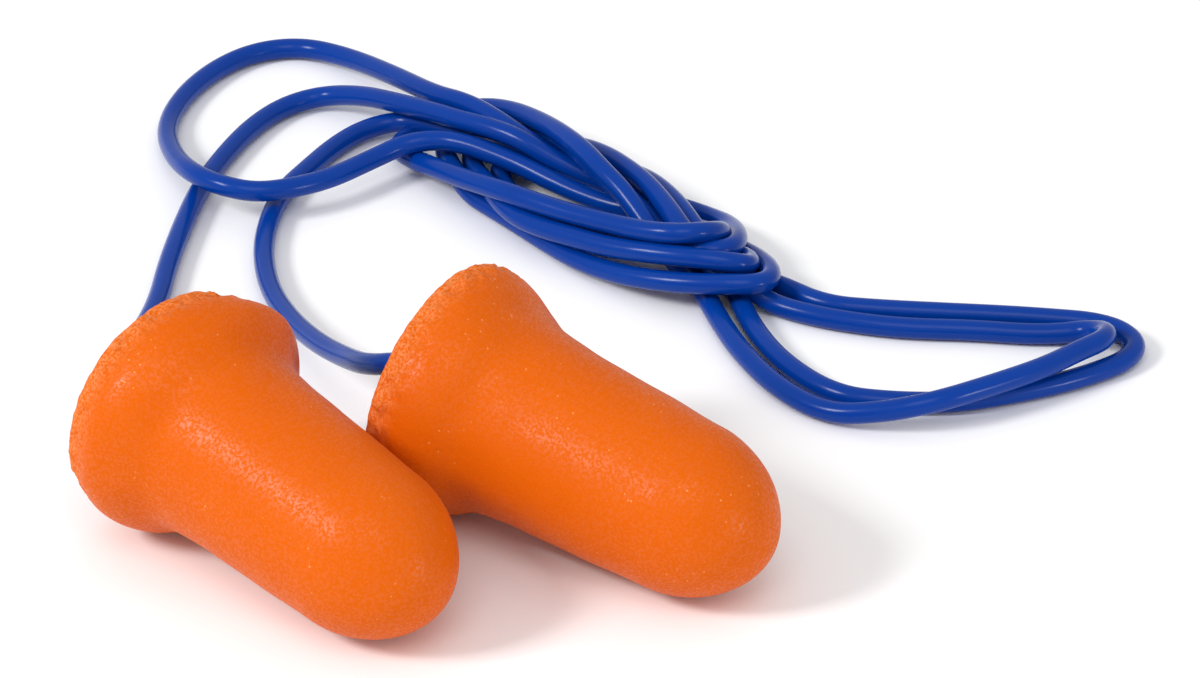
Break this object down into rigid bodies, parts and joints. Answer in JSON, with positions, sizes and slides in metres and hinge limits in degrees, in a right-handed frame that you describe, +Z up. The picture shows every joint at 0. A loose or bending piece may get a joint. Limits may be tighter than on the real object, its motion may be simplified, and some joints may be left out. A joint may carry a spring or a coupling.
{
  "type": "corded foam earplugs",
  "caption": "Pair of bell-shaped soft foam earplugs joined by a thin vinyl cord, whose folded hank is tied in an overhand knot.",
  "frame": {"origin": "on the surface that the plugs lie on, under the middle of the pair of plugs", "axes": "+X to the right along the pair's longest extent, +Y away from the tips towards the cord's hank, +Z up"},
  "size_m": [0.0706, 0.0804, 0.0162],
  "materials": {
    "foam": "soft matt polyurethane foam, orange, with fine pores",
    "adhesive": "clear to amber elastic adhesive",
    "vinyl": "glossy soft vinyl, blue"
  },
  "bodies": {
    "cord": {"left_cord_flex": "vinyl", "right_cord_flex": "vinyl", "left_cord_tail": "vinyl", "right_cord_tail": "vinyl", "left_loop": "vinyl", "right_inner_loop": "vinyl", "right_outer_loop": "vinyl", "cord_knot": "vinyl"},
    "left_plug": {"left_plug": "foam", "left_glue": "adhesive", "left_cord_end": "vinyl"},
    "right_plug": {"right_plug": "foam", "right_glue": "adhesive", "right_cord_end": "vinyl"}
  },
  "joints": [
    {"name": "left_plug_swing", "type": "hinge", "parent": "cord", "child": "left_plug", "pos_m": [-0.01892, 0.00762, 0.00877], "axis": [0, 0, 1], "range_deg": [-45, 0], "deforming": ["left_cord_flex"]},
    {"name": "right_plug_swing", "type": "hinge", "parent": "cord", "child": "right_plug", "pos_m": [-0.0015, 0.00919, 0.00877], "axis": [0, 0, 1], "range_deg": [0, 35], "deforming": ["right_cord_flex"]}
  ]
}
